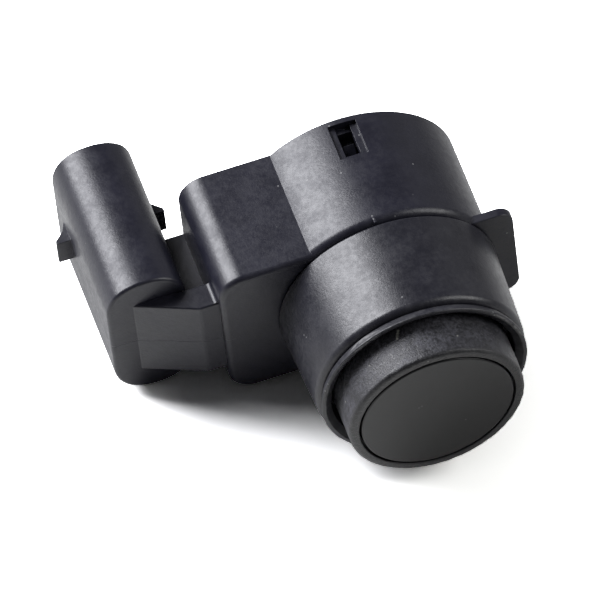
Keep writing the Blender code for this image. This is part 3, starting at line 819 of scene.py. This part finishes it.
def gusset_block():
    x, width, length, edge = -0.32, 0.28, 1.3, 0.05
    sunk_front, sunk_top = 0.05, 0.02
    bm = block((x - width / 2, housing_front + sunk_front, barrel_radius - barrel_fillet - width),
               (x + width / 2, housing_front + length, barrel_radius - sunk_top))
    return soften(bm, edge, 2)


# %% [markdown]
# ### Hollows
#
# The front bore takes the sleeve, the cavity behind it takes the circuit board, and a shallow
# step takes the rear cover. The socket is hollow down to its floor. In the barrel's top a
# pocket holds the window through which the cover's hook snaps.

# %% Cut the hollows
window_x = 0.3
past = 1.0


def hollows():
    front_bore, ledge_bore, ledge_depth = 9.3, 8.3, 0.5
    cover_lap, cover_seat = 0.7, 26.85
    ledge = board_seat - ledge_depth
    bore = [(0.0, housing_front - past), (front_bore, housing_front - past), (front_bore, ledge),
            (ledge_bore, ledge), (ledge_bore, board_seat + fit_gap), (0.0, board_seat + fit_gap)]
    inner = keyhole(cavity_radius, box_reach - box_wall, box_half - box_wall, box_corner - box_wall)
    seat = keyhole(cavity_radius + cover_lap, box_reach - box_wall + cover_lap,
                   box_half - box_wall + cover_lap, box_corner - box_wall + cover_lap)
    socket = slot_outline(shroud_x, shroud_width - 2 * shroud_wall, shroud_height - 2 * shroud_wall,
                          shroud_corner - shroud_wall)
    return [spin(bore), along_y(inner, board_seat, housing_rear + past),
            along_y(seat, cover_seat, housing_rear + past),
            along_y(socket, shroud_front + shroud_floor, shroud_mouth + past)]


def pocket_cuts():
    """The shallow pocket in the barrel's top, and the window through its floor."""
    width, length, depth, rim = 2.8, 4.1, 0.55, 0.65
    window, inset = 1.5, 0.45
    rear = housing_rear - rim
    front = rear - length
    pocket = block((window_x - width / 2, front, barrel_radius - depth),
                   (window_x + width / 2, rear, barrel_radius + past))
    hole = block((window_x - window / 2, front + inset, cavity_radius - past),
                 (window_x + window / 2, rear, barrel_radius + past))
    return [pocket, hole]


def terminal_channels():
    """Square holes through the socket's floor, one for each terminal."""
    half, reach = 0.42, 1.5
    pitch = lean.length / mm / 2
    return [block((shroud_x - half, shroud_front + shroud_floor - reach, step * pitch - half),
                  (shroud_x + half, shroud_front + shroud_floor + reach, step * pitch + half))
            for step in (-1, 0, 1)]


print(f"each tool runs {past} mm past the surface that it opens")

# %% [markdown]
# ### One moulding
#
# All blocks are joined first and the hollows are cut after them. The manifold solver is fast and
# exact here, because every block and every tool is a closed mesh, and its result is closed too.

# %% Join the housing
housing = raw_object("housing_shell", barrel_block())
joined = [box_block(), shroud_block(), arm_block(), arm_fillet(1), arm_fillet(-1), rib_block(),
          ear_block(), lug_block(1), lug_block(-1), gusset_block()]
cuts = hollows() + pocket_cuts() + terminal_channels()
carve(housing, [("UNION", bm) for bm in joined] + [("DIFFERENCE", bm) for bm in cuts])
dress(housing, black_plastic, ("housing",))

# %% [markdown]
# ## Sleeve
#
# The sleeve in front of the housing is a turned tube with a rounded front edge, a touch wider
# at the rear. It is lathe work: one profile gives the outside, the bore and the hidden spigot.

# %% Turn the sleeve
sleeve_front = 4.84
sleeve_rear = 15.08
sleeve_front_radius = 10.55
sleeve_rear_radius = 10.97
sleeve_fillet = 0.75
sleeve_bore = 9.85


def front_sleeve():
    """The tube, with the spigot behind it that carries the sealing ring in a groove."""
    spigot, groove, spigot_inner, end, shoulder, edge = 9.1, 8.35, 7.9, 18.2, 9.47, 0.2
    groove_front, groove_rear = 16.2, 17.4
    profile = [(sleeve_bore, sleeve_front)]
    profile += arc(sleeve_front_radius - sleeve_fillet, sleeve_front + sleeve_fillet, sleeve_fillet,
                   -90, 0, 12)
    profile += arc(sleeve_rear_radius - edge, sleeve_rear - edge, edge, 0, 90, 4)
    profile += [(spigot, sleeve_rear), (spigot, groove_front), (groove, groove_front),
                (groove, groove_rear), (spigot, groove_rear), (spigot, end), (spigot_inner, end),
                (spigot_inner, shoulder), (sleeve_bore, shoulder)]
    return spin(profile)


dress(raw_object("sleeve_tube", front_sleeve()), sleeve_plastic,
      ("front_sleeve",))

# %% [markdown]
# ## Lip
#
# The retaining ring behind the rubber shows as a narrow lip. It opens like a funnel towards the
# rubber. Outside it flares towards the front, so only its front edge catches the light. A turned
# edge would be too perfect here: the real one has a little flash, so its radius wanders by a few
# hundredths of a millimetre. Smooth noise moves the corners, and the same seed gives the same
# edge each run.

# %% Turn the lip
lip_front = 3.87
lip_rear = 4.72
lip_radius = 10.32
lip_inner = 9.25
funnel_depth = 0.5
funnel_radius = 9.92


def wander(bm, chosen, amount, size, seed):
    """Move chosen corners in and out a little, smoothly round the ring."""
    for corner in bm.verts:
        if chosen(corner.co):
            away = Vector((corner.co.x, 0, corner.co.z)).normalized()
            shift = noise.noise(Vector((corner.co.x, corner.co.y + seed, corner.co.z)) / size)
            corner.co += away * (amount * shift)
    return bm


def retaining_ring():
    """The funnel, its rolled front edge, the flared outside and the seat inside the sleeve."""
    edge, flare = 0.16, 22.0
    break_width, break_depth = 0.07, 0.05
    seat_radius, seat_rear = 9.75, 6.87
    profile = [(lip_inner, lip_front + funnel_depth),
               (funnel_radius - break_width, lip_front + break_depth), (funnel_radius, lip_front)]
    profile += arc(lip_radius - edge, lip_front + edge, edge, -90, flare, 9)
    widest, behind = profile[-1]
    profile += [(widest - (lip_rear - behind) * math.tan(math.radians(flare)), lip_rear),
                (seat_radius, lip_rear), (seat_radius, seat_rear), (lip_inner, seat_rear)]
    bm = spin(profile, fine_round_steps)
    front, inside, outside = lip_front + 0.1, funnel_radius + 0.03, funnel_radius + 0.1
    wander(bm, lambda co: co.y < front and math.hypot(co.x, co.z) < inside,
           amount=0.07, size=0.45, seed=3.0)
    return wander(bm, lambda co: co.y < front and math.hypot(co.x, co.z) > outside,
                  amount=0.05, size=0.6, seed=7.0)


dress(raw_object("lip_ring", retaining_ring()), lip_plastic, ("retaining_ring",))

# %% [markdown]
# ## Rubber ring
#
# The rubber ring keeps the vibrating pot from touching the housing. Its front edge is rolled.
# It is soft and a little uneven, so its side and edge wander too. The side has rows of points
# along it for that, where a rigid tube would need none.

# %% Turn the rubber ring
rubber_radius = 8.8
rubber_inner = 7.85
mouth_depth = 0.8
face_radius = 7.65


def rubber_ring():
    """A sleeve round the pot, a flange that the lip holds, and a floor behind the pot."""
    roll, inner_roll, row, rows = 0.45, 0.1, 0.54, 11
    flange_radius, flange_front, flange_rear = 9.7, 6.97, 9.37
    pot_bore, floor_bore, floor_front, floor_rear = 7.75, 6.4, 8.7, 9.45
    profile = arc(rubber_inner + inner_roll, inner_roll, inner_roll, 180, 270, 4)
    profile += arc(rubber_radius - roll, roll, roll, -90, 0, 8)
    profile += [(rubber_radius, roll + step * row) for step in range(1, rows + 1)]
    profile += [(rubber_radius, flange_front), (flange_radius, flange_front),
                (flange_radius, flange_rear), (face_radius, flange_rear),
                (face_radius, floor_rear), (floor_bore, floor_rear), (floor_bore, floor_front),
                (pot_bore, floor_front), (pot_bore, mouth_depth), (rubber_inner, mouth_depth)]
    bm = spin(profile, fine_round_steps)
    outside, behind = rubber_radius - 0.3, 6.5
    return wander(bm, lambda co: co.y < behind and math.hypot(co.x, co.z) > outside,
                  amount=0.045, size=0.9, seed=0.0)


dress(raw_object("rubber_collar", rubber_ring()), rubber,
      ("decoupling_ring",), sharp=40.0)

# %% [markdown]
# ## Sounding face
#
# The face is the thin floor of a metal pot, flat with a rounded edge, a hair's breadth inside
# the rubber. The whole pot is turned, so the gap beside it is real and as dark as it should be.

# %% Turn the face
def face_pot():
    """The pot, whose thin floor is the sounding face."""
    edge, pot_rear, pot_inner, floor = 0.2, 8.6, 5.7, 0.8
    profile = [(0.0, 0.0)]
    profile += arc(face_radius - edge, edge, edge, -90, 0, 6)
    profile += [(face_radius, pot_rear), (pot_inner, pot_rear), (pot_inner, floor), (0.0, floor)]
    return spin(profile)


dress(raw_object("sounding_face", face_pot()), face_paint, ("membrane_pot",))

# %% [markdown]
# ## Rear cover
#
# The photograph doesn't show the rear. Such sensors are closed by a plain lid that follows the
# outline of barrel and box, sunk a little into the housing, with a hook for the latch window.

# %% Make the rear cover
cover_front = 26.95
cover_rear = 28.1


def cover_plate():
    lap, edge = 0.6, 0.12
    outline = keyhole(cavity_radius + lap, box_reach - box_wall + lap, box_half - box_wall + lap,
                      box_corner - box_wall + lap)
    return soften(along_y(outline, cover_front, cover_rear), edge, 3, at_y(cover_rear))


def cover_hook():
    """The tongue that reaches forward under the window, with a barb that snaps into it."""
    sink, thickness, width, length, barb, barb_length = 0.7, 0.7, 1.1, 2.5, 1.2, 1.1
    top = cavity_radius - sink
    root = cover_front + 0.5
    tip = cover_front - length
    outline = [(root, top - thickness), (root, top), (tip + barb_length, top),
               (tip + barb_length, top + barb), (tip, top), (tip, top - thickness)]
    return push([(window_x - width / 2, y, z) for y, z in outline], (width, 0, 0))


lid = carve(raw_object("rear_lid", cover_plate()), [("UNION", cover_hook())])
dress(lid, black_plastic, ("rear_cover",))

# %% [markdown]
# ## Bench
#
# The bench is a sheet of white paper on a darker table. It catches a soft shadow and throws
# light back up into the faces that look down, so it is a real diffuse surface. The paper fades
# out into the table, so far rims reflect something dark.
#
# To the camera the paper's colour is brighter, which takes it to white without any more light on
# the object. Reflections see a small share of that: with all of it, plastic that is seen at a
# slant turns pale.

# %% Which rays see the brighter background
mirrored_share = 0.07


def background_rays(tree):
    """1 for rays from the camera or through glass, and a share of 1 for mirrored ones."""
    rays = tree.nodes.new("ShaderNodeLightPath")
    mirrored = tree.nodes.new("ShaderNodeMath")
    mirrored.operation = "MULTIPLY"
    mirrored.inputs[1].default_value = mirrored_share
    tree.links.new(rays.outputs["Is Glossy Ray"], mirrored.inputs[0])
    most = mirrored.outputs[0]
    for name in ("Is Transmission Ray", "Is Camera Ray"):
        larger = tree.nodes.new("ShaderNodeMath")
        larger.operation = "MAXIMUM"
        tree.links.new(rays.outputs[name], larger.inputs[0])
        tree.links.new(most, larger.inputs[1])
        most = larger.outputs[0]
    return most


print(f"mirrored rays see {mirrored_share:.0%} of the background")

# %% [markdown]
# Close to the sensor, which hides part of the sky there, the brighter colour is taken back a
# little. That leaves the soft contact shade that a real sheet of paper shows.

# %% Bench
bench_white = 3.7
bench_radius = 3.0
paper_middle = (-35.0, -10.0, 0.0)
paper_near, paper_far = 50.0, 115.0
paper_patch = 40.0
table_grey = 0.12
shade_reach, shade_depth = 12.0, 0.45


def paper_on_table():
    finish = Finish("white bench")
    tree = finish.tree
    from_middle = finish.node("ShaderNodeVectorMath", {"operation": "DISTANCE"},
                              {0: finish.surface, 1: Vector(paper_middle) * mm}, "Value")
    beyond = from_middle.ramp(paper_near * mm, paper_far * mm)
    colour = finish.mix(finish.noise(paper_patch), grey(0.86, 0.96), grey(0.88, 0.96))
    finish.set(Base_Color=finish.mix(beyond, colour, grey(table_grey)), Roughness=0.8)
    open_sky = finish.node("ShaderNodeAmbientOcclusion", {"samples": 16},
                           {"Distance": shade_reach * mm}, "AO")
    white = finish.mix(open_sky, grey(bench_white * shade_depth, 0.96), grey(bench_white, 0.985))
    paper = finish.node("ShaderNodeBsdfDiffuse", {}, {"Color": white})
    shown = finish.node("ShaderNodeMixShader", {},
                        {0: Wire(finish, background_rays(tree)),
                         1: Wire(finish, finish.shader.outputs[0]), 2: paper})
    tree.links.new(shown.socket, tree.nodes["Material Output"].inputs["Surface"])
    return finish.material


def bench():
    bm = bmesh.new()
    bmesh.ops.create_circle(bm, cap_ends=True, radius=bench_radius, segments=96)
    mesh = bpy.data.meshes.new("bench")
    bm.to_mesh(mesh)
    bm.free()
    mesh.materials.append(paper_on_table())
    made = bpy.data.objects.new("bench", mesh)
    made.location.z = bench_height
    bpy.context.scene.collection.objects.link(made)


bench()
print(f"bench {2 * bench_radius} m across, paper fades from {paper_near} to {paper_far} mm")

# %% [markdown]
# ## Room
#
# The room adds almost no light: just enough that no hollow is fully black. To the camera, and
# through glass, it is as white as the bench, so there is no horizon.

# %% Room
room_light = 0.02


def room():
    world = bpy.data.worlds.new("pale room")
    bpy.context.scene.world = world
    world.use_nodes = True
    tree = world.node_tree
    shade = tree.nodes["Background"]
    shade.inputs["Color"].default_value = (0.96, 0.98, 1.0, 1.0)
    shade.inputs["Strength"].default_value = room_light
    seen = tree.nodes.new("ShaderNodeBackground")
    seen.inputs["Color"].default_value = (1.0, 1.0, 1.0, 1.0)
    mixed = tree.nodes.new("ShaderNodeMixShader")
    tree.links.new(background_rays(tree), mixed.inputs[0])
    tree.links.new(shade.outputs[0], mixed.inputs[1])
    tree.links.new(seen.outputs[0], mixed.inputs[2])
    tree.links.new(mixed.outputs[0], tree.nodes["World Output"].inputs["Surface"])


room()
print("room light:", room_light)

# %% [markdown]
# ## Lamps
#
# A large lamp stands to the upper left and a little behind. On near-black plastic it is seen
# more as a broad reflection than as light, so its size sets how wide the bright bands on barrel
# and socket are. A weaker lamp to the right draws the right rims, and a faint one to the rear
# keeps the back from going flat.

# %% Lamps
def softbox(name, bearing, height, distance, width, length, power, colour=(1.0, 1.0, 1.0)):
    """A lamp aimed at the sensor; bearing goes clockwise from -Y, seen from above, in degrees."""
    turn, lift = math.radians(bearing), math.radians(height)
    direction = Vector((-math.sin(turn) * math.cos(lift), -math.cos(turn) * math.cos(lift),
                        math.sin(lift)))
    lamp = bpy.data.lights.new(name, "AREA")
    lamp.shape = "RECTANGLE"
    lamp.size = width
    lamp.size_y = length
    lamp.energy = power
    lamp.color = colour
    made = bpy.data.objects.new(name, lamp)
    made.location = direction * distance
    made.rotation_mode = "QUATERNION"
    made.rotation_quaternion = direction.to_track_quat("Z", "Y")
    made.visible_camera = False
    bpy.context.scene.collection.objects.link(made)


softbox("key softbox", bearing=133.0, height=34.1, distance=0.8, width=0.4, length=0.7,
        power=12.0, colour=(0.95, 0.955, 1.0))
softbox("right softbox", bearing=-75.0, height=38.0, distance=0.8, width=0.5, length=0.5, power=3.3)
softbox("rear fill", bearing=-140.0, height=22.0, distance=1.0, width=0.9, length=0.5, power=0.35)

# %% [markdown]
# The dressed sensor has to stay inside the solids' box.
